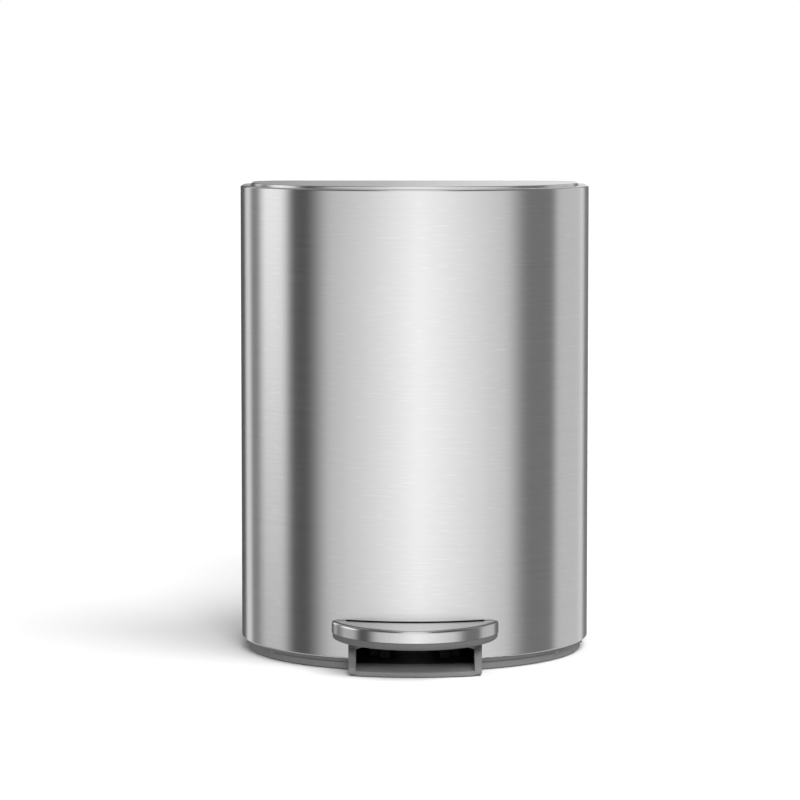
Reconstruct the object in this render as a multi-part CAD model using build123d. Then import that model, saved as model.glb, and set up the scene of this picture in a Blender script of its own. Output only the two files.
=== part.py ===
from build123d import *
import math
import os

os.makedirs("parts", exist_ok=True)

# Millimetres, +Z up. The bin is drawn about the centre of its half-round front
# and then moved so that the middle of its footprint is the origin.

# Body outline: a half circle in front, straight sides, a flat back.
body_r = 143.0
body_back = 75.0
corner_r = 30.0
steel = 0.8

# Heights above the floor
ring_bottom = 0.6
steel_bottom = 10.0
rim_top = 382.0
lid_top = 384.2
deck_under = 44.0
bucket_floor = 48.0

# Rim and lid
rim_width = 8.0
rim_shoulder = 1.6
lid_gap = 0.9
lid_back = 63.0
lid_corner = 27.0

# Lid hinge and crank
hinge_y, hinge_z = 59.0, 380.2
hinge_pin_r = 1.5
barrel_r = 4.0
crank_throw = 13.0
crank_angle = 40.0
crank_pin_r = 2.0
crank_y = hinge_y - crank_throw * math.cos(math.radians(crank_angle))
crank_z = hinge_z - crank_throw * math.sin(math.radians(crank_angle))

# Pedal
pedal_half_w = 68.0
pedal_front = 187.0
pedal_depth = 76.0
pedal_top = 40.5
cap_bottom = 30.5
pedal_bottom = 24.3
axle_y, axle_z, axle_r = -75.0, 20.0, 3.0

# Pedal frame standing out of the base
foot_front_r = 166.3
foot_half_w = 52.5
cheek_t = 5.6
foot_top = 4.4
ledge_top = 5.6

# Push rod and damper
rod_r = 2.5
rod_y = 49.0
rod_gap = 0.6
damper_x, damper_y = 36.0, 60.0

# The whole bin moves back by this, so that the pedal and the back wall are
# equally far from the origin.
shift_y = (pedal_front - body_back) / 2


def d_face(inset=0.0, back=None, corner=None, radius=None):
    """Half-round outline, moved inwards by inset."""
    r = radius if radius is not None else body_r - inset
    b = back if back is not None else body_back - inset
    c = corner if corner is not None else max(corner_r - inset, 4.0)
    k = c * math.sqrt(0.5)
    with BuildSketch() as s:
        with BuildLine():
            ThreePointArc((-r, 0), (0, -r), (r, 0))
            Line((r, 0), (r, b - c))
            ThreePointArc((r, b - c), (r - c + k, b - c + k), (r - c, b))
            Line((r - c, b), (-r + c, b))
            ThreePointArc((-r + c, b), (-r + c - k, b - c + k), (-r, b - c))
            Line((-r, b - c), (-r, 0))
        make_face()
    return s.sketch


def d_solid(z0, z1, inset=0.0, **kw):
    return Pos(0, 0, z0) * extrude(d_face(inset, **kw), z1 - z0)


def block(x0, x1, y0, y1, z0, z1):
    return Pos((x0 + x1) / 2, (y0 + y1) / 2, (z0 + z1) / 2) * Box(x1 - x0, y1 - y0, z1 - z0)


def rod_z(x, y, z0, z1, r):
    return Pos(x, y, (z0 + z1) / 2) * Cylinder(r, z1 - z0)


def rod_x(x0, x1, y, z, r):
    return Pos((x0 + x1) / 2, y, z) * Rot(0, 90, 0) * Cylinder(r, x1 - x0)


def profile_x(points, x0, x1):
    """Side profile given as (y, z) points, stretched from x0 to x1."""
    with BuildSketch(Plane.YZ) as s:
        with BuildLine():
            Polyline(*points, close=True)
        make_face()
    return Pos(x0, 0, 0) * extrude(s.sketch, x1 - x0, dir=(1, 0, 0))


def profile_y(points, y0, y1):
    """Front profile given as (x, z) points, stretched from y0 to y1."""
    with BuildSketch(Plane.XZ) as s:
        with BuildLine():
            Polyline(*points, close=True)
        make_face()
    return Pos(0, y0, 0) * extrude(s.sketch, y1 - y0, dir=(0, 1, 0))


def mirrored(shape):
    return shape + mirror(shape, about=Plane.YZ)


def edges_at(shape, z, tol=0.05):
    return [e for e in shape.edges()
            if abs(e.bounding_box().min.Z - z) < tol and abs(e.bounding_box().max.Z - z) < tol]


def pan_screw(head_r, head_h, shank_r, length):
    """Pan head up, head seat at z = 0, with a cross recess."""
    head = Pos(0, 0, head_h / 2) * Cylinder(head_r, head_h)
    head = chamfer(edges_at(head, head_h), head_h * 0.35)
    cross = Box(head_r * 1.1, head_r * 0.28, head_h) + Box(head_r * 0.28, head_r * 1.1, head_h)
    tip = Pos(0, 0, -length) * Cone(shank_r * 0.3, shank_r, 2.0, align=(Align.CENTER, Align.CENTER, Align.MIN))
    shank = Pos(0, 0, -(length - 2) / 2) * Cylinder(shank_r, length - 2)
    return head + shank + tip - Pos(0, 0, head_h) * cross


def save(shape, name):
    if isinstance(shape, (list, tuple)):
        shape = Compound(children=list(shape))
    export_step(shape.moved(Location((0, shift_y, 0))), f"parts/{name}.step")


# Steel body: shoulder at the top, flat rim with a turned-down hem, and a small
# inward curl at the bottom edge.
outer = d_solid(steel_bottom, rim_top)
outer = fillet(edges_at(outer, rim_top), rim_shoulder)
outer = fillet(edges_at(outer, steel_bottom), 1.2)
inner = d_solid(steel_bottom + steel, rim_top - steel, steel)
inner = fillet(edges_at(inner, rim_top - steel), rim_shoulder - steel)
body = outer - inner
body -= d_solid(steel_bottom - 1, steel_bottom + 2, 2.4)
body -= d_solid(rim_top - 3, rim_top + 1, rim_width)
body += d_solid(rim_top - 5.5, rim_top - steel, rim_width - steel) \
    - d_solid(rim_top - 6, rim_top, rim_width)
slot_half, slot_low, slot_high = 56.5, 25.0, 41.3
slot = block(-slot_half, slot_half, -160, -90, slot_low, slot_high)
slot = fillet(slot.edges().filter_by(Axis.Y), 3.0)
slot += block(-foot_half_w - 0.5, foot_half_w + 0.5, -160, -90, steel_bottom - 2, slot_low + 4)
body -= slot
save(body, "body_shell")

# Base ring: visible face, groove and lip below the steel, an upstand inside it,
# a floor ledge, screw columns and the frame for the pedal.
base = d_solid(ring_bottom, 6.2, 5.5)
base = fillet(edges_at(base, ring_bottom), 0.8)
base += d_solid(6.0, 7.0, 6.3)
base += d_solid(6.8, 8.8, 4.0)
base += d_solid(8.0, 43.6, 2.9)
base -= d_solid(ring_bottom - 1, 50, 8.2)
base += d_solid(3.6, ledge_top, 8.0) - d_solid(3.0, 7.0, 13.0)
# Pedal frame: a concentric floor lip with rounded corners and raked cheeks
foot = rod_z(0, 0, ring_bottom, foot_top, foot_front_r) & block(
    -foot_half_w, foot_half_w, -170, -120, 0, 30)
foot = fillet(foot.edges().filter_by(Axis.Z).sort_by(Axis.Y)[:2], 12.0)
foot = fillet(edges_at(foot, foot_top) + edges_at(foot, ring_bottom), 0.7)
foot -= rod_z(0, 0, -1, 40, 125) + rod_z(0, 0, -1, 3.6, 135)
cheek_rake = [(-159.5, 2.0), (-159.5, 6.0), (-149.0, 12.0), (-141.5, 20.0), (-139.5, 23.2),
              (-128.0, 23.2), (-120.0, 18.0), (-120.0, 2.0)]
cheek = profile_x(cheek_rake, foot_half_w - cheek_t, foot_half_w)
cheek &= rod_z(0, 0, 0, 40, foot_front_r - 0.3)
cheek -= rod_z(0, 0, 0, 3.6, 135)
gusset = profile_y([(37.5, 23.2), (40.5, 20.8), (foot_half_w - cheek_t, 19.0),
                    (foot_half_w - cheek_t, 23.2)], -141.0, -139.0)
window = profile_y([(-foot_half_w + cheek_t, foot_top), (-foot_half_w + cheek_t, 23.2),
                    (-foot_half_w - 0.6, 26.0), (-foot_half_w - 0.6, 60.0),
                    (foot_half_w + 0.6, 60.0), (foot_half_w + 0.6, 26.0),
                    (foot_half_w - cheek_t, 23.2), (foot_half_w - cheek_t, foot_top)], -160.0, -90.0)
pass_through = block(-slot_half - 0.6, slot_half + 0.6, -160, -90, 24.6, 60.0)
base -= window + pass_through
base = base + foot + mirrored(cheek) + mirrored(gusset)
# Columns that take the deck screws from above and the floor screws from below
column_xy = [(112.0, 38.0), (-112.0, 38.0), (98.0, -78.0), (-98.0, -78.0)]
for x, y in column_xy:
    reach = math.copysign(22, x)
    web = block(min(x, x + reach), max(x, x + reach), y - 1, y + 1, 5.6, 34.0)
    base += (rod_z(x, y, 3.6, 43.6, 5.0) + web) & d_solid(0, 60, 3.4)
for x, y in column_xy:
    base -= rod_z(x, y, 30.0, 44.0, 1.7) + rod_z(x, y, 3.0, 16.0, 1.7)
# Stiffening ribs inside the upstand along the straight sides and the back
for y in (-20.0, 8.0):
    base += mirrored(block(128.5, 139.5, y - 0.9, y + 0.9, 5.4, 40.0) & d_solid(0, 60, 3.4))
for x in (-70.0, -42.0, 42.0, 70.0):
    base += block(x - 0.9, x + 0.9, 60.5, 71.5, 5.4, 40.0)
save(base, "base_ring")

# Floor plate with the bearing blocks of the pedal axle
plate = d_solid(1.5, 3.5, 8.7)
for i in range(5):
    plate -= Pos(0, 18 * i - 32, 2.5) * Box(44, 7, 4)
block_side = [(axle_y - 13, 3.4), (axle_y - 6.5, axle_z), (axle_y + 6.5, axle_z), (axle_y + 13, 3.4)]
bearing = profile_x(block_side, 20.0, 28.0) + rod_x(20.0, 28.0, axle_y, axle_z, 6.5)
bearing -= rod_x(19.0, 29.0, axle_y, axle_z, axle_r)
gusset_rib = block(28.0, 36.0, axle_y - 1.2, axle_y + 1.2, 3.4, 11.0)
plate += mirrored(bearing) + mirrored(gusset_rib)
for x, y in column_xy:
    plate -= rod_z(x, y, 1, 4, 2.1)
save(plate, "floor_plate")

feet = []
for x, y in [(96.0, 52.0), (-96.0, 52.0), (112.0, -52.0), (-112.0, -52.0)]:
    pad = rod_z(x, y, 0, 1.5, 9.0)
    pad = fillet(edges_at(pad, 0.0), 0.5)
    pad -= rod_z(x, y, -1, 0.6, 4.0)
    feet.append(pad)
save(feet, "rubber_feet")

# Deck on which the bucket stands, with a locating wall and a well for the rod
deck = d_solid(deck_under, deck_under + 3, 3.6)
deck += d_solid(deck_under + 2, 56.0, radius=118.0, back=36.0, corner=24.0) \
    - d_solid(deck_under + 2, 57.0, radius=115.6, back=33.6, corner=21.6)
deck += d_solid(deck_under + 2, bucket_floor, radius=108.0, back=26.0, corner=16.0) \
    - d_solid(deck_under, bucket_floor + 1, radius=104.0, back=22.0, corner=12.0)
for x in range(-90, 91, 30):
    deck += block(x - 0.9, x + 0.9, -78, 20, 41.0, deck_under + 0.5)
deck -= rod_z(0, rod_y, 30, 60, 6.0)
deck += rod_z(0, rod_y, deck_under, 52.0, 8.0) - rod_z(0, rod_y, 30, 60, 5.0)
for x, y in column_xy:
    deck -= rod_z(x, y, 40, 60, 2.1)
# Room above the pedal's neck
deck -= block(-60, 60, -150, -125, 40, 46.2)
save(deck, "bucket_deck")

save([Pos(x, y, deck_under + 3) * pan_screw(4.0, 2.4, 1.7, 15) for x, y in column_xy], "deck_screws")
save([Pos(x, y, 1.5) * Rot(180, 0, 0) * pan_screw(3.8, 1.2, 1.7, 12) for x, y in column_xy],
     "floor_screws")

# Pedal cap: a half-oval steel tray, open below, whose roof runs on through the
# slot in the body.
def oval(inset, z0, z1):
    with BuildSketch() as s:
        with Locations((0, -pedal_front + pedal_depth)):
            Ellipse(pedal_half_w - inset, pedal_depth - inset)
    return Pos(0, 0, z0) * extrude(s.sketch, z1 - z0)


def pedal_trim(gap, half, tongue_r):
    """What the body takes away from the pedal; the tongue through the slot stays."""
    wall = rod_z(0, 0, 0, 60, body_r + gap) - block(-half, half, -160, 0, 0, 60)
    return wall + rod_z(0, 0, 0, 60, tongue_r) + block(-80, 80, -100, 10, 0, 60)


cap = oval(0, cap_bottom, pedal_top)
cap = fillet(edges_at(cap, pedal_top), 2.6)
cap_in = oval(steel, cap_bottom - 1, pedal_top - steel)
cap_in = fillet(edges_at(cap_in, pedal_top - steel), 1.8)
cap = cap - cap_in - pedal_trim(1.4, 55.6, 138.0)
save(cap, "pedal_cap")

# Pedal moulding: bowl-shaped below the cap, hollow, ribbed under its roof
shell = oval(0.5, pedal_bottom, cap_bottom)
shell = fillet(edges_at(shell, pedal_bottom), 4.2)
neck = oval(steel + 0.05, cap_bottom - 0.2, pedal_top - steel)
neck = fillet(edges_at(neck, pedal_top - steel), 1.75)
moulding = shell + neck
hollow = oval(5.0, pedal_bottom - 1, pedal_top - steel - 2.2)
moulding -= hollow
trim = pedal_trim(1.5, 54.2, 135.5)
moulding -= trim
ribs = None
for x in (-40.0, -28.0, 28.0, 40.0):
    rib = block(x - 0.8, x + 0.8, -178, -138, 34.0, 38.0)
    ribs = rib if ribs is None else ribs + rib
ribs += block(-56, 56, -162.8, -161.2, 34.0, 38.0)
ribs = ribs & oval(4.6, 20, 50)
ribs -= block(-15.2, 15.2, -175, -100, 20, 50)
moulding += ribs - rod_z(0, 0, 0, 60, 136.5)
for y in (-162.0, -134.0):
    moulding -= rod_z(0, y, 36.0, 39.2, 1.7)
save(moulding, "pedal_moulding")

# Pedal lever: pressed channel, cranked down from the pedal to the axle and on to
# the foot of the push rod.
lever_top = [(-174.0, 37.4), (-120.0, 37.4), (-88.0, 27.5), (-64.0, 27.5), (-38.0, 16.0), (54.5, 16.0)]
lever_low = [(54.5, 9.0), (-44.0, 9.0), (-64.0, 12.5), (-86.0, 13.5), (-122.0, 30.0), (-174.0, 30.0)]
lever = profile_x(lever_top + lever_low, -14.0, 14.0)
lever_in = [(y, z - 1.6) for y, z in lever_top]
lever_in[0], lever_in[-1] = (-180.0, 35.8), (60.0, 14.4)
lever -= profile_x(lever_in + [(60.0, 0.0), (-64.0, 0.0), (-180.0, 20.0)], -12.4, 12.4)
lever -= rod_x(-20, 20, axle_y, axle_z, axle_r + 0.05)
for y in (-162.0, -134.0):
    lever -= rod_z(0, y, 30, 40, 2.1)
save(lever, "pedal_lever")
save([Pos(0, y, 35.8) * Rot(180, 0, 0) * pan_screw(3.8, 2.0, 1.7, 3.2) for y in (-162.0, -134.0)],
     "lever_screws")

axle = rod_x(-33.0, 33.0, axle_y, axle_z, axle_r)
axle -= mirrored(rod_x(29.0, 30.2, axle_y, axle_z, 6) - rod_x(28.0, 31.0, axle_y, axle_z, 2.2))
save(axle, "pedal_axle")
clips = []
for s in (-1, 1):
    ring = rod_x(29.1, 30.1, axle_y, axle_z, 5.6) - rod_x(28.0, 31.0, axle_y, axle_z, 2.25)
    ring -= block(28.0, 31.0, axle_y - 1.7, axle_y + 1.7, axle_z, axle_z + 8)
    clips.append(ring if s > 0 else mirror(ring, about=Plane.YZ))
save(clips, "axle_clips")
spacer = rod_x(14.4, 19.8, axle_y, axle_z, 5.2) - rod_x(13.0, 21.0, axle_y, axle_z, axle_r + 0.02)
save([spacer, mirror(spacer, about=Plane.YZ)], "axle_spacers")

# Push rod: wire with a rounded foot and a flat pad under the crank pin
pad_top = crank_z - crank_pin_r - rod_gap
rod = rod_z(0, rod_y, 16.0 + rod_gap, pad_top - 2, rod_r)
rod = fillet(edges_at(rod, 16.0 + rod_gap), 2.0)
pad = block(-8.0, 8.0, 44.6, 52.6, pad_top - 2, pad_top)
pad = fillet(pad.edges().filter_by(Axis.Z), 1.5)
rod += pad + rod_z(0, rod_y, pad_top - 6, pad_top - 1.9, 3.6)
save(rod, "push_rod")

guides = []
for z in (110.0, 236.0):
    arm = block(-7.0, 7.0, 43.6, 74.1, z - 7, z + 7)
    arm = fillet(arm.edges().filter_by(Axis.Z).sort_by(Axis.Y)[:2], 4.0)
    arm += block(-20.0, 20.0, 71.6, 74.1, z - 14, z + 14)
    arm -= rod_z(0, rod_y, z - 10, z + 10, rod_r + 0.08)
    arm -= block(-4.6, 4.6, 56.0, 69.0, z - 8, z + 8)
    for x in (-14.0, 14.0):
        arm -= Pos(x, 72.8, z) * Rot(90, 0, 0) * Cylinder(2.0, 4)
    guides.append(arm)
save(guides, "rod_guides")
save([Pos(x, 71.6, z) * Rot(90, 0, 0) * pan_screw(3.6, 1.8, 1.5, 2.4)
      for z in (110.0, 236.0) for x in (-14.0, 14.0)], "guide_screws")

# Damper: a small cylinder held on the back wall, its piston tied to the rod
cyl_low, cyl_high = 264.0, 316.0
cylinder = rod_z(damper_x, damper_y, cyl_low, cyl_high, 8.0)
cylinder = fillet(edges_at(cylinder, cyl_low) + edges_at(cylinder, cyl_high), 1.0)
cylinder -= rod_z(damper_x, damper_y, cyl_low + 3, cyl_high - 4, 6.0)
cylinder -= rod_z(damper_x, damper_y, cyl_high - 6, cyl_high + 1, 2.05)
bracket = block(damper_x - 12, damper_x + 12, 71.6, 74.1, cyl_low, cyl_high)
bracket += block(damper_x - 3, damper_x + 3, 66.0, 72.0, cyl_low + 2, cyl_high - 2)
cylinder += bracket - rod_z(damper_x, damper_y, cyl_low - 1, cyl_high + 1, 7.0)
save(cylinder, "damper_cylinder")
piston = rod_z(damper_x, damper_y, 275.0, 338.0, 2.0) + rod_z(damper_x, damper_y, 272.0, 276.0, 5.92)
save(piston, "damper_piston")
link = block(-5.0, damper_x + 5, rod_y - 5, rod_y + 5, 333.0, 335.0)
link += block(damper_x - 5, damper_x + 5, rod_y - 5, damper_y + 5, 333.0, 335.0)
link = fillet(link.edges().filter_by(Axis.Z), 2.0)
link += rod_z(0, rod_y, 329.0, 339.0, 4.6) + rod_z(damper_x, damper_y, 330.0, 336.0, 4.0)
link -= rod_z(0, rod_y, 320, 345, rod_r) + rod_z(damper_x, damper_y, 320, 345, 2.0)
save(link, "damper_link")

# Collar inside the rim: a ledge for the bucket, a rear bridge for the hinge
collar = d_solid(370.0, 373.0, 1.3)
collar += d_solid(372.0, 379.0, 1.3) - d_solid(371.0, 380.0, 3.3)
collar += d_solid(364.0, 371.0, radius=128.6, back=39.6, corner=26.6)
collar -= d_solid(360.0, 374.0, radius=127.0, back=38.0, corner=25.0)
collar -= block(-14.0, 14.0, 43.4, 66.0, 360, 380)
for x in (-86.0, -60.0, 60.0, 86.0):
    collar += block(x - 1, x + 1, 39.0, 72.0, 365.0, 370.5)
for x in (-47.0, 47.0, -22.0, 22.0):
    collar += rod_z(x, 66.0, 362.0, 370.5, 3.6)
    collar -= rod_z(x, 66.0, 360.0, 374.0, 1.5)
save(collar, "rim_collar")

# Hinge bracket: folded plate on the collar's bridge with two ears
ear_x = 42.2
bracket = block(-53.0, 53.0, 53.0, 70.5, 373.0, 374.6)
bracket -= block(-14.0, 14.0, 50.0, 66.0, 372, 376)
ear = profile_x([(56.0, 374.0), (62.0, 374.0), (62.0, 376.5), (62.0 - 0.8, 378.4), (59.0, 380.0),
                 (56.8, 378.4), (56.0, 376.5)], ear_x - 1.2, ear_x + 1.2)
ear += rod_x(ear_x - 1.2, ear_x + 1.2, hinge_y, hinge_z, 3.0)
ear -= rod_x(ear_x - 3, ear_x + 3, hinge_y, hinge_z, hinge_pin_r)
bracket += mirrored(ear)
for x in (-47.0, 47.0, -22.0, 22.0):
    bracket -= rod_z(x, 66.0, 372, 376, 1.7)
save(bracket, "hinge_bracket")
save([Pos(x, 66.0, 374.6) * pan_screw(2.9, 1.4, 1.5, 10) for x in (-47.0, -22.0, 22.0, 47.0)],
     "hinge_screws")
pin = rod_x(-45.5, 45.5, hinge_y, hinge_z, hinge_pin_r)
pin = chamfer(pin.edges().filter_by(GeomType.CIRCLE), 0.3)
save(pin, "hinge_pin")

# Lid: a steel skin with a turned-down edge
def lid_outline(inset):
    return dict(radius=body_r - rim_width - lid_gap - inset, back=lid_back - inset,
                corner=lid_corner - inset)


skin = d_solid(379.6, lid_top, **lid_outline(0))
skin = fillet(edges_at(skin, lid_top), 0.7)
skin_in = d_solid(379.0, lid_top - steel, **lid_outline(steel))
skin -= fillet(edges_at(skin_in, lid_top - steel), 0.3)
skin -= mirrored(block(ear_x - 3.0, ear_x + 3.0, 50.0, 70.0, 370.0, 383.0))
save(skin, "lid_skin")

# Lid liner: plate, edge rib, cross ribs, and the two knuckles on the hinge pin
liner = d_solid(381.4, 383.0, **lid_outline(steel + 0.3))
liner += d_solid(376.6, 382.0, **lid_outline(steel + 0.3)) \
    - d_solid(376.0, 382.5, **lid_outline(steel + 2.5))
liner += d_solid(378.6, 382.0, radius=112.0, back=30.0, corner=20.0) \
    - d_solid(378.0, 382.5, radius=110.2, back=28.2, corner=18.2)
for x in (-60.0, 60.0):
    liner += block(x - 0.9, x + 0.9, -92.0, 61.0, 379.0, 382.0)
liner -= block(-15.0, 15.0, 36.0, 70.0, 370.0, 381.4)
liner -= block(-46, 46, hinge_y - barrel_r - 0.5, 70, 370, 381.4)
liner -= block(-12.0, 12.0, 25.0, 40.0, 370.0, 381.4)
liner -= block(-12.2, 12.2, 54.0, 70.0, 370.0, 383.4)
knuckle = rod_x(16.0, 40.4, hinge_y, hinge_z, barrel_r - 0.9) + block(
    16.0, 40.4, 50.0, hinge_y, 377.4, 382.0)
liner += mirrored(knuckle)
liner -= mirrored(block(ear_x - 1.8, ear_x + 3.6, 52.0, 66.0, 370.0, 384.0))
liner -= rod_x(-60.0, 60.0, hinge_y, hinge_z, hinge_pin_r + 0.05)
for x in (-6.0, 6.0):
    liner -= rod_z(x, 32.0, 378, 382.7, 1.5)
save(liner, "lid_liner")

# Crank: folded steel bracket under the liner, its pin above the rod's pad
arm = [(62.0, 379.0), (61.0, 381.3), (28.0, 381.3), (28.0, 379.9), (44.5, 379.9), (45.8, 371.0),
       (49.0, 368.6), (52.0, 370.0), (53.6, 373.8)]
side = profile_x(arm, 9.5, 11.3) + rod_x(9.5, 11.3, crank_y, crank_z, 3.4)
side += rod_x(9.5, 11.3, hinge_y, hinge_z, 3.1)
side -= rod_x(8.0, 13.0, hinge_y, hinge_z, hinge_pin_r + 0.1)
side -= rod_x(8.0, 13.0, crank_y, crank_z, crank_pin_r)
crank = mirrored(side) + block(-11.3, 11.3, 26.0, 42.0, 379.9, 381.3)
for x in (-6.0, 6.0):
    crank -= rod_z(x, 32.0, 378, 383, 1.5)
save(crank, "lid_crank")
save(rod_x(-12.6, 12.6, crank_y, crank_z, crank_pin_r), "crank_pin")
save([Pos(x, 32.0, 379.9) * Rot(180, 0, 0) * pan_screw(2.6, 1.2, 1.5, 2.6) for x in (-6.0, 6.0)],
     "crank_screws")

bumpers = []
for a in (-150.0, -90.0, -30.0):
    x, y = 133.6 * math.cos(math.radians(a)), 133.6 * math.sin(math.radians(a))
    bumpers.append(rod_z(x, y, 373.0, 376.2, 2.6))
save(bumpers, "lid_bumpers")

# Inner bucket: tapered half-round pail with a flat rim and two handle lugs
def pail(z0, z1, t):
    low = Pos(0, 0, z0) * d_face(radius=111.0 - t, back=29.0 - t, corner=20.0 - t)
    high = Pos(0, 0, z1) * d_face(radius=125.6 - t, back=36.6 - t, corner=23.6 - t)
    return loft([low, high])


bucket_top = 375.0
bucket = pail(bucket_floor, bucket_top, 0.0) - pail(bucket_floor + 2.0, bucket_top + 0.01, 1.6)
bucket += d_solid(373.1, bucket_top, radius=130.6, back=41.6, corner=28.6) \
    - d_solid(373.0, bucket_top + 1, radius=124.2, back=35.2, corner=22.2)
bail_r, bail_wire, bail_pin_r, bail_z = 122.0, 1.4, 1.2, 376.6
lug = block(126.4, 129.6, -3.5, 3.5, 374.5, bail_z) + rod_x(126.4, 129.6, 0, bail_z, 3.0)
lug -= rod_x(125.0, 128.6, 0, bail_z, bail_pin_r + 0.08)
bucket += mirrored(lug)
save(bucket, "inner_bucket")

bail = (Pos(0, 0, bail_z) * Torus(bail_r + 2, bail_wire)) & block(-130, 130, -130, 1.0, 370, 380)
bail += mirrored(rod_x(bail_r + 1.2, 128.2, 0, bail_z, bail_pin_r))
save(bail, "bucket_handle")
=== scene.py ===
import math

import bpy
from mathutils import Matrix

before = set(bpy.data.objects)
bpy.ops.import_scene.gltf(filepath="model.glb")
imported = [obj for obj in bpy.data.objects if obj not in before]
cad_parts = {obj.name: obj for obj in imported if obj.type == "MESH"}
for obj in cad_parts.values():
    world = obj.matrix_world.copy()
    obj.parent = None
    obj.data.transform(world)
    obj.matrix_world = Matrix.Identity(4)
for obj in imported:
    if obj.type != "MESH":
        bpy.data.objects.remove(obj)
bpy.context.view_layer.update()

DEGREES = 180.0 / math.pi

# The camera stands low and far away, a little left of the middle. Metres, radians
# downwards, and millimetres of lens and sensor.
CAMERA_PLACE = (-0.0120, -2.8306, 0.4560)
CAMERA_TILT = 0.0869
CAMERA_LENS = 157.75
SENSOR_WIDTH = 36.0
FARTHEST_SEEN = 100.0

FLOOR_WIDTH = 40.0
FLOOR_WHITE = 0.84
FLOOR_CLOUD = 0.01

# How often the brushing changes in a metre along X, Y and Z. It runs round the wall
# and from side to side on the lid and the pedal.
WALL_BRUSHING = (26.0, 26.0, 1900.0)
TOP_BRUSHING = (26.0, 1900.0, 260.0)
ACROSS_BRUSHING = 1000.0
WALL_SPREAD = 0.7

BODY_STEEL = (0.88, 0.88, 0.88)
PEDAL_STEEL = (0.82, 0.82, 0.82)
ZINC = (0.62, 0.63, 0.64)
BASE_GREY = (0.168, 0.168, 0.169)
PEDAL_GREY = (0.11, 0.11, 0.111)
INNER_BLACK = (0.028, 0.028, 0.030)
PAIL_BLACK = (0.03, 0.03, 0.032)
RUBBER_DARK = (0.018, 0.018, 0.018)
RUBBER_LIGHT = (0.04, 0.04, 0.04)

# What the steel mirrors. A turn is in degrees round the bin, 0 to the front and
# positive to the right, and a rise is in degrees above the horizon. A panel has
# where it starts, where it ends, and half the width of its soft edges.
FRONT_PANEL = (-67.0, 71.0, 11.0)
FRONT_STRENGTH = 1.20
FRONT_MIDDLE = 2.0
FRONT_FALL = 0.0100
FRONT_LEAN = 0.0004
FRONT_FADE = 0.0105
LEFT_PANEL = (-122.0, -92.5, 7.0)
LEFT_STRENGTH = 0.70
LEFT_CLIMB = 0.075
# Narrow panels at the sides, each with its strength.
SIDE_PANELS = (
    ((-143.0, -121.0, 4.0), 0.13),
    ((-151.0, -139.0, 4.0), 0.62),
    ((106.0, 151.0, 5.0), 0.385),
    ((142.0, 151.0, 4.0), 0.16),
)
WALL_LOOKS_AT = -5.0
WALL_LOOKS_PAST = 6.0
FLAG_STRENGTH = 0.05
FLAG_GAIN = 0.10
BOOM_PANEL = (20.0, 66.0, 7.0)
BOOM_STRENGTH = 0.9
REAR_PANEL = (-34.0, -12.0, 3.0)
CEILING_STRENGTH = 0.4
DARK_STRENGTH = 0.04
PLAIN_STRENGTH = 0.46


class Value:
    """One output socket of a node tree, with ordinary arithmetic."""

    def __init__(self, tree, socket):
        self.tree = tree
        self.socket = socket

    def math(self, operation, *others, flip=False):
        inputs = [self, *others]
        if flip:
            inputs.reverse()
        return self.tree.node("ShaderNodeMath", inputs, operation=operation)

    def __add__(self, other):
        return self.math("ADD", other)

    __radd__ = __add__

    def __mul__(self, other):
        return self.math("MULTIPLY", other)

    __rmul__ = __mul__

    def __sub__(self, other):
        return self.math("SUBTRACT", other)

    def __rsub__(self, other):
        return self.math("SUBTRACT", other, flip=True)

    def __neg__(self):
        return self * -1.0

    def __abs__(self):
        return self.math("ABSOLUTE")

    def root(self):
        return self.math("SQRT")

    def arctan2(self, other):
        return self.math("ARCTAN2", other)

    def maximum(self, other):
        return self.math("MAXIMUM", other)

    def minimum(self, other):
        return self.math("MINIMUM", other)

    def clamped(self):
        return self.maximum(0.0).minimum(1.0)


class Tree:
    """A node tree being written."""

    def __init__(self, owner):
        owner.use_nodes = True
        self.nodes = owner.node_tree.nodes
        self.links = owner.node_tree.links
        self.nodes.clear()

    def node(self, kind, inputs=(), out=0, **settings):
        """Makes a node, fills its inputs by order or by name, and returns one output."""
        made = self.nodes.new(kind)
        for name, setting in settings.items():
            setattr(made, name, setting)
        pairs = inputs.items() if isinstance(inputs, dict) else enumerate(inputs)
        for key, given in pairs:
            if isinstance(given, Value):
                self.links.new(given.socket, made.inputs[key])
            else:
                made.inputs[key].default_value = given
        return Value(self, made.outputs[out]) if made.outputs else made

    def place(self):
        """Where a point lies on its piece, in metres."""
        return self.node("ShaderNodeTexCoord", out="Object")

    def stretched(self, scale):
        """That place, with each axis scaled on its own."""
        return self.node("ShaderNodeVectorMath", [self.place(), scale], operation="MULTIPLY")

    def noise(self, vector, scale, detail=2.0, roughness=0.5):
        inputs = {"Vector": vector, "Scale": scale, "Detail": detail, "Roughness": roughness}
        return self.node("ShaderNodeTexNoise", inputs, out="Fac")

    def blend(self, factor, low, high):
        """Goes from one colour to another; the colour pair of a Mix node is 6 and 7."""
        first, second = (c if isinstance(c, Value) else (*c, 1.0) for c in (low, high))
        inputs = {0: factor, 6: first, 7: second}
        return self.node("ShaderNodeMix", inputs, out=2, data_type="RGBA")

    def bump(self, height, strength, distance):
        inputs = {"Height": height, "Strength": strength, "Distance": distance}
        return self.node("ShaderNodeBump", inputs, out="Normal")

    def surface(self, **inputs):
        named = {key.replace("_", " "): given for key, given in inputs.items()}
        shader = self.node("ShaderNodeBsdfPrincipled", named)
        self.node("ShaderNodeOutputMaterial", [shader])


def new_tree(name):
    material = bpy.data.materials.new(name)
    return material, Tree(material)


def shade(colour, factor):
    """The same colour, darker below 1 and lighter above it."""
    return tuple(part * factor for part in colour)


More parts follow.
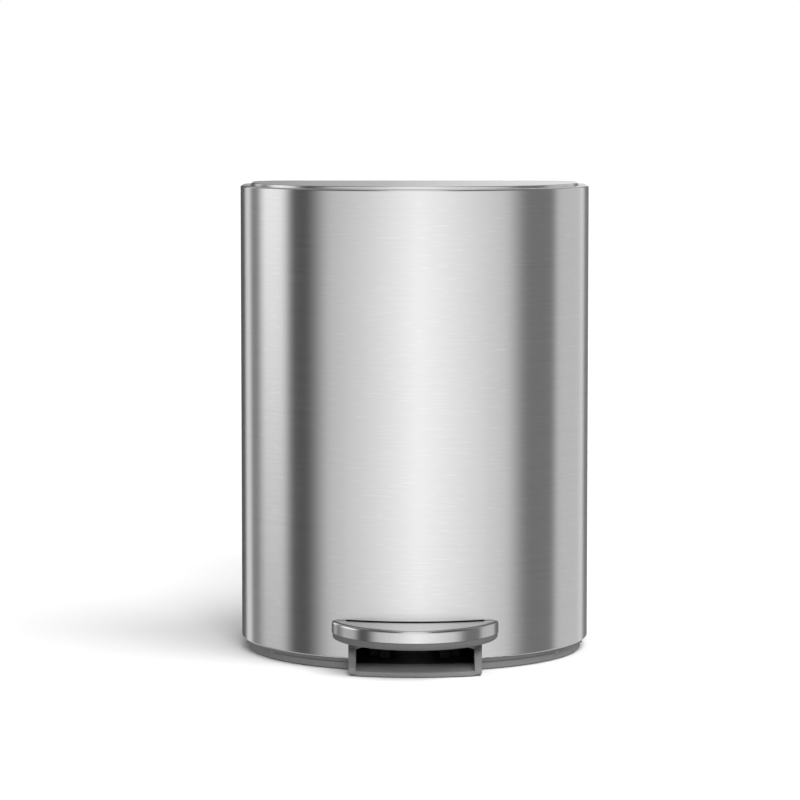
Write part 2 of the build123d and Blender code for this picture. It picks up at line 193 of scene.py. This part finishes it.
def brushed_steel(name, brushing, colour=BODY_STEEL, rough=0.2, spread=0.0):
    """Steel with fine, middle and broad streaks and a few short scratches."""
    material, tree = new_tree(name)

    def streaks(scale, detail=2.0, roughness=0.5):
        return tree.noise(tree.stretched(scale), 1.0, detail, roughness)

    fine = streaks(brushing, 3.0, 0.6)
    middle = streaks([scale * 0.35 for scale in brushing], 3.0, 0.6)
    broad = streaks([scale * 0.08 for scale in brushing])
    cloud = tree.noise(tree.place(), 9.0)
    streak = fine * 0.35 + middle * 0.45 + broad * 0.2

    # A scratch is shorter than a streak, and only the highest parts of its noise show.
    short = streaks([scale * (0.6 if scale > ACROSS_BRUSHING else 3.0) for scale in brushing])
    scratch = tree.node("ShaderNodeMapRange", {"Value": short, "From Min": 0.58, "From Max": 0.76})

    tint = tree.blend(streak, shade(colour, 0.83), colour)
    tint = tree.blend(scratch, tint, shade(colour, 0.985))
    tree.surface(
        Base_Color=tint,
        Metallic=1.0,
        Roughness=streak * 0.12 + cloud * 0.05 + (rough - 0.08),
        Anisotropic=spread,
        Anisotropic_Rotation=0.25,
        Normal=tree.bump(streak, 0.12, 0.0002),
    )
    return material


def bright_zinc(name, colour=ZINC, rough=0.3):
    """Plated steel of the wire, pins, screws and brackets."""
    material, tree = new_tree(name)
    cloud = tree.noise(tree.place(), 60.0, 4.0, 0.6)
    grain = tree.noise(tree.place(), 900.0, 2.0, 0.6)
    tree.surface(
        Base_Color=tree.blend(cloud, shade(colour, 0.8), colour),
        Metallic=1.0,
        Roughness=cloud * 0.2 + (rough - 0.1),
        Normal=tree.bump(grain, 0.08, 0.0001),
    )
    return material


def moulded_plastic(name, colour, rough=0.45, gloss=0.5):
    """Injection-moulded plastic with a fine spark-eroded grain."""
    material, tree = new_tree(name)
    cloud = tree.noise(tree.place(), 35.0, 3.0, 0.5)
    grain = tree.noise(tree.place(), 1600.0, 3.0, 0.6)
    tree.surface(
        Base_Color=tree.blend(cloud, shade(colour, 0.9), shade(colour, 1.08)),
        Roughness=grain * 0.14 + (rough - 0.07),
        Specular_IOR_Level=gloss,
        Normal=tree.bump(grain, 0.3, 0.0001),
    )
    return material


def matt_rubber(name):
    """Dull black rubber of the feet and the lid's pads."""
    material, tree = new_tree(name)
    speck = tree.noise(tree.place(), 700.0, 2.0, 0.5)
    tree.surface(
        Base_Color=tree.blend(speck, RUBBER_DARK, RUBBER_LIGHT),
        Roughness=speck * 0.1 + 0.75,
        Normal=tree.bump(speck, 0.2, 0.0001),
    )
    return material


# Each finish, and the pieces that have it.
finishes = (
    (brushed_steel("wall_steel", WALL_BRUSHING, spread=WALL_SPREAD), ("body_shell",)),
    (brushed_steel("lid_steel", TOP_BRUSHING), ("lid_skin",)),
    (brushed_steel("pedal_steel", TOP_BRUSHING, PEDAL_STEEL, rough=0.17), ("pedal_cap",)),
    (bright_zinc("zinc"), (
        "pedal_lever", "pedal_axle", "axle_clips", "push_rod", "damper_link", "damper_piston",
        "hinge_bracket", "hinge_pin", "lid_crank", "crank_pin", "deck_screws", "floor_screws",
        "guide_screws", "hinge_screws", "crank_screws", "lever_screws", "bucket_handle")),
    (moulded_plastic("base_grey", BASE_GREY), ("base_ring",)),
    (moulded_plastic("pedal_grey", PEDAL_GREY), ("pedal_moulding",)),
    (moulded_plastic("inner_black", INNER_BLACK, rough=0.5, gloss=0.25), (
        "floor_plate", "bucket_deck", "rod_guides", "damper_cylinder", "rim_collar",
        "lid_liner", "axle_spacers")),
    (moulded_plastic("pail_black", PAIL_BLACK, rough=0.4), ("inner_bucket",)),
    (matt_rubber("rubber"), ("rubber_feet", "lid_bumpers")),
)
for finish, pieces in finishes:
    for piece in pieces:
        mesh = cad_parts[piece].data
        mesh.materials.clear()
        mesh.materials.append(finish)


def studio():
    """White to the camera; softboxes and black flags to what reflects; even to the rest."""
    world = bpy.data.worlds.new("studio")
    bpy.context.scene.world = world
    tree = Tree(world)
    direction = tree.node("ShaderNodeTexCoord", out="Generated")
    across, ahead, up = (
        tree.node("ShaderNodeSeparateXYZ", [direction], out=axis) for axis in "XYZ")
    turn = across.arctan2(-ahead) * DEGREES
    rise = up.arctan2((across * across + ahead * ahead).root()) * DEGREES

    def step(angle, start, end):
        """0 before start, 1 after end, smooth between, in degrees."""
        inputs = {"Value": angle, "From Min": start, "From Max": end}
        return tree.node("ShaderNodeMapRange", inputs, interpolation_type="SMOOTHSTEP")

    def panel(angle, start, end, soft):
        """1 from start to end, with soft edges."""
        return step(angle, start - soft, start + soft) - step(angle, end - soft, end + soft)

    # Round the bin, at the height of its wall. Over the few degrees that the wall
    # mirrors towards the camera, the front fades up and down and the left one climbs.
    height = (rise - WALL_LOOKS_AT).maximum(-WALL_LOOKS_PAST).minimum(WALL_LOOKS_PAST)
    front = FRONT_STRENGTH - abs(turn - FRONT_MIDDLE) * FRONT_FALL - turn * FRONT_LEAN
    front = front * panel(turn, *FRONT_PANEL) * (1.0 - height * height * FRONT_FADE)
    left = panel(turn, *LEFT_PANEL) * (height * LEFT_CLIMB + LEFT_STRENGTH)
    walls = front + left
    for edges, strength in SIDE_PANELS:
        walls = walls + panel(turn, *edges) * strength
    walls = walls + (step(turn, -40.0, 40.0) * FLAG_GAIN + FLAG_STRENGTH)

    # Straight behind, just over the horizon: what the flat lid mirrors.
    behind = step(rise, 0.0, 4.0) * (across * 5.5 + 0.48).clamped() * step(ahead, 0.5, 0.9)
    behind = behind * (1.0 - step(abs(across), 0.10, 0.22))

    # Overhead: a boom in front, a pale sky at the sides and the ceiling.
    boom = panel(rise, *BOOM_PANEL) * (1.0 - step(abs(turn), 14.0, 34.0)) * BOOM_STRENGTH
    sky = step(rise, 14.0, 22.0) * (step(abs(turn), 85.0, 130.0) * 0.24 + 0.06)
    ceiling = step(rise, 60.0, 78.0) * CEILING_STRENGTH

    # Low down: a panel for the flat back, and the lit floor with the walls' glow on it.
    rear = step(abs(turn), 140.0, 165.0) * panel(rise, *REAR_PANEL) * (0.6 - abs(across) * 0.7)
    near_floor = 1.0 - step(rise, -46.0, -28.0)
    floor_glow = near_floor * (walls * 0.6 + 0.36)

    below_sky = 1.0 - step(rise, 14.0, 24.0)
    light = walls * below_sky * (1.0 - near_floor) + floor_glow
    light = light + behind + rear + boom + sky + ceiling + DARK_STRENGTH

    to_camera = tree.node("ShaderNodeLightPath", out="Is Camera Ray")
    glossy = tree.node("ShaderNodeLightPath", out="Is Glossy Ray")
    unseen = glossy * light + (1.0 - glossy) * PLAIN_STRENGTH
    strength = to_camera + (1.0 - to_camera) * unseen
    white = (1.0, 1.0, 1.0, 1.0)
    background = tree.node("ShaderNodeBackground", {"Color": white, "Strength": strength})
    tree.node("ShaderNodeOutputWorld", [background])


def lamp(name, kind, place, target, strength, **settings):
    """A lamp at place, turned to target, that steel doesn't mirror."""
    data = bpy.data.lights.new(name, kind)
    data.energy = strength
    for setting, given in settings.items():
        setattr(data, setting, given)
    light = bpy.data.objects.new(name, data)
    light.location = place
    aim = [t - p for t, p in zip(target, place)]
    level = math.hypot(aim[0], aim[1])
    tilt = math.pi / 2 + math.atan2(aim[2], level)
    light.rotation_euler = (tilt, 0.0, math.atan2(-aim[0], aim[1]))
    light.visible_glossy = False
    light.visible_camera = False
    bpy.context.scene.collection.objects.link(light)


def white_floor():
    bpy.ops.object.select_all(action="DESELECT")
    bpy.ops.mesh.primitive_plane_add(size=FLOOR_WIDTH, location=(0.0, 0.0, 0.0))
    floor = bpy.context.object
    floor.name = "floor"
    material, tree = new_tree("floor_white")
    soft = tree.noise(tree.place(), 2.0, 1.0, 0.5)
    low, high = (FLOOR_WHITE - FLOOR_CLOUD,) * 3, (FLOOR_WHITE + FLOOR_CLOUD,) * 3
    tree.surface(Base_Color=tree.blend(soft, low, high), Roughness=0.9, Specular_IOR_Level=0.0)
    floor.data.materials.append(material)
    floor.visible_glossy = False


def camera():
    data = bpy.data.cameras.new("camera")
    data.lens = CAMERA_LENS
    data.sensor_width = SENSOR_WIDTH
    data.clip_end = FARTHEST_SEEN
    made = bpy.data.objects.new("camera", data)
    made.location = CAMERA_PLACE
    made.rotation_euler = (math.pi / 2 - CAMERA_TILT, 0.0, 0.0)
    bpy.context.scene.collection.objects.link(made)
    bpy.context.scene.camera = made


studio()
white_floor()
# A high key lamp from the right, a fill from the front, and a small lamp in the well
# between the cheeks, which lights the top of the foot.
lamp("key", "SUN", (0.46, -0.42, 1.0), (0.0, 0.0, 0.0), 2.0, angle=0.7)
lamp("fill", "SUN", (0.10, -0.84, 0.54), (0.0, 0.0, 0.0), 1.9, angle=0.4)
lamp("foot_well", "AREA", (0.0, -0.0935, 0.0225), (0.0, -0.0936, 0.0), 0.006,
     shape="RECTANGLE", size=0.088, size_y=0.03)
camera()
bpy.context.scene.view_settings.view_transform = "Standard"
